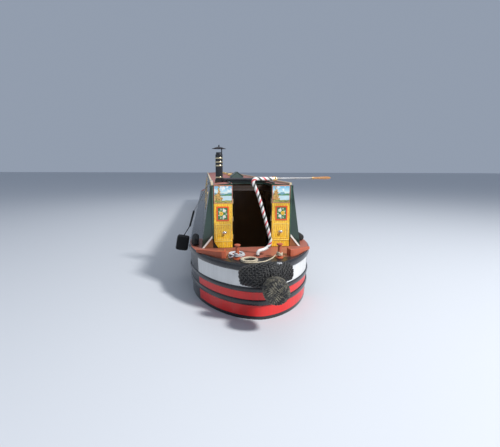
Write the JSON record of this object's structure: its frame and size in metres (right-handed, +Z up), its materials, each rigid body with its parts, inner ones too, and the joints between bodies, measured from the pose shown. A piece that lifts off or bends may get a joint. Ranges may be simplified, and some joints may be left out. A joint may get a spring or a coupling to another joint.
{
  "type": "narrowboat",
  "caption": "Steel narrowboat with a round counter stern, long cabin, folding rear doors, sliding hatch, tiller steering and rope fenders",
  "frame": {"origin": "middle of the base plate's flat underside, half way between the counter's tip and the stem", "axes": "+Y towards the bow, +X to starboard, +Z up"},
  "size_m": [2.6095, 18.255, 3.1393],
  "materials": {
    "hull_black": "gloss",
    "bottom_black": "matt",
    "deck_red": "satin",
    "cabin_green": "gloss",
    "roof_red": "matt",
    "cream_paint": "satin",
    "hatch_black": "satin",
    "grained_door": "varnished",
    "window_glass": "clear",
    "brass": "polished",
    "striped_paint": "gloss",
    "handle_wood": "varnished",
    "propeller_bronze": "dull",
    "shaft_steel": "satin",
    "engine_paint": "satin",
    "floor_wood": "satin",
    "fender_rope": "matt",
    "mooring_line": "matt"
  },
  "bodies": {
    "hull": {"hull_shell": "hull_black", "guard_top": "hull_black", "guard_middle": "hull_black", "guard_lower": "hull_black", "base_plate": "bottom_black", "cant_port": "deck_red", "cant_starboard": "deck_red", "dolly_port": "deck_red", "dolly_starboard": "deck_red", "front_well": "deck_red", "rear_bulkhead": "cabin_green", "front_bulkhead": "cabin_green", "cabin_side_port": "cabin_green", "cabin_side_starboard": "cabin_green", "hatch_rails": "cabin_green", "vent_box": "cabin_green", "roof": "roof_red", "handrail_port": "cream_paint", "handrail_starboard": "cream_paint", "chimney": "hatch_black", "bow_post": "hatch_black", "window_1_port": "window_glass", "window_1_starboard": "window_glass", "window_2_port": "window_glass", "window_2_starboard": "window_glass", "window_3_port": "window_glass", "window_3_starboard": "window_glass", "porthole_port": "window_glass", "porthole_starboard": "window_glass", "chimney_collar": "brass", "mushroom_vent": "brass", "headlamp": "brass", "stern_tube": "shaft_steel", "engine": "engine_paint", "cabin_floor": "floor_wood", "rear_floor": "floor_wood", "partition": "floor_wood", "stern_fender": "fender_rope", "button_fender": "fender_rope", "bow_fender": "fender_rope", "side_fender": "fender_rope", "stowed_fender_port": "fender_rope", "stowed_fender_starboard": "fender_rope", "line_coil_port": "mooring_line", "line_lead_port": "mooring_line", "line_coil_starboard": "mooring_line", "line_lead_starboard": "mooring_line"},
    "hatch": {"sliding_hatch": "hatch_black"},
    "rear_door_left": {"rear_door_port": "grained_door"},
    "rear_door_right": {"rear_door_starboard": "grained_door"},
    "front_door_left": {"front_door_port": "grained_door"},
    "front_door_right": {"front_door_starboard": "grained_door"},
    "vent_lid_left": {"vent_lid_port": "cabin_green"},
    "vent_lid_right": {"vent_lid_starboard": "cabin_green"},
    "locker_cover": {"locker_lid": "deck_red"},
    "steering": {"rudder": "bottom_black", "swan_neck": "striped_paint", "tiller_bar": "shaft_steel", "tiller_handle": "handle_wood"},
    "screw": {"propeller": "propeller_bronze"}
  },
  "joints": [
    {"name": "steering_pivot", "type": "hinge", "parent": "hull", "child": "steering", "pos_m": [0, -8.28, 1], "axis": [0, 0, 1], "range_deg": [0, 140]},
    {"name": "screw_spin", "type": "hinge", "parent": "hull", "child": "screw", "pos_m": [0, -7.41, 0.3], "axis": [0, 1, 0], "continuous": true},
    {"name": "hatch_slide", "type": "slide", "parent": "hull", "child": "hatch", "axis": [0, -1, 0], "range_m": [0, 0.69]},
    {"name": "rear_door_left_hinge", "type": "hinge", "parent": "hull", "child": "rear_door_left", "pos_m": [-0.318, -7.663, 1.9], "axis": [0, 0, 1], "range_deg": [0, 180]},
    {"name": "rear_door_right_hinge", "type": "hinge", "parent": "hull", "child": "rear_door_right", "pos_m": [0.318, -7.663, 1.9], "axis": [0, 0, -1], "range_deg": [0, 180]},
    {"name": "front_door_left_hinge", "type": "hinge", "parent": "hull", "child": "front_door_left", "pos_m": [-0.29, 6.258, 1.7], "axis": [0, 0, 1], "range_deg": [0, 170]},
    {"name": "front_door_right_hinge", "type": "hinge", "parent": "hull", "child": "front_door_right", "pos_m": [0.29, 6.258, 1.7], "axis": [0, 0, -1], "range_deg": [0, 170]},
    {"name": "vent_lid_left_hinge", "type": "hinge", "parent": "hull", "child": "vent_lid_left", "pos_m": [-0.008, -4.8, 2.631], "axis": [0, 1, 0], "range_deg": [0, 60]},
    {"name": "vent_lid_right_hinge", "type": "hinge", "parent": "hull", "child": "vent_lid_right", "pos_m": [0.008, -4.8, 2.631], "axis": [0, -1, 0], "range_deg": [0, 60]},
    {"name": "locker_lid_hinge", "type": "hinge", "parent": "hull", "child": "locker_cover", "pos_m": [0, 7.585, 1.506], "axis": [1, 0, 0], "range_deg": [0, 100]}
  ]
}
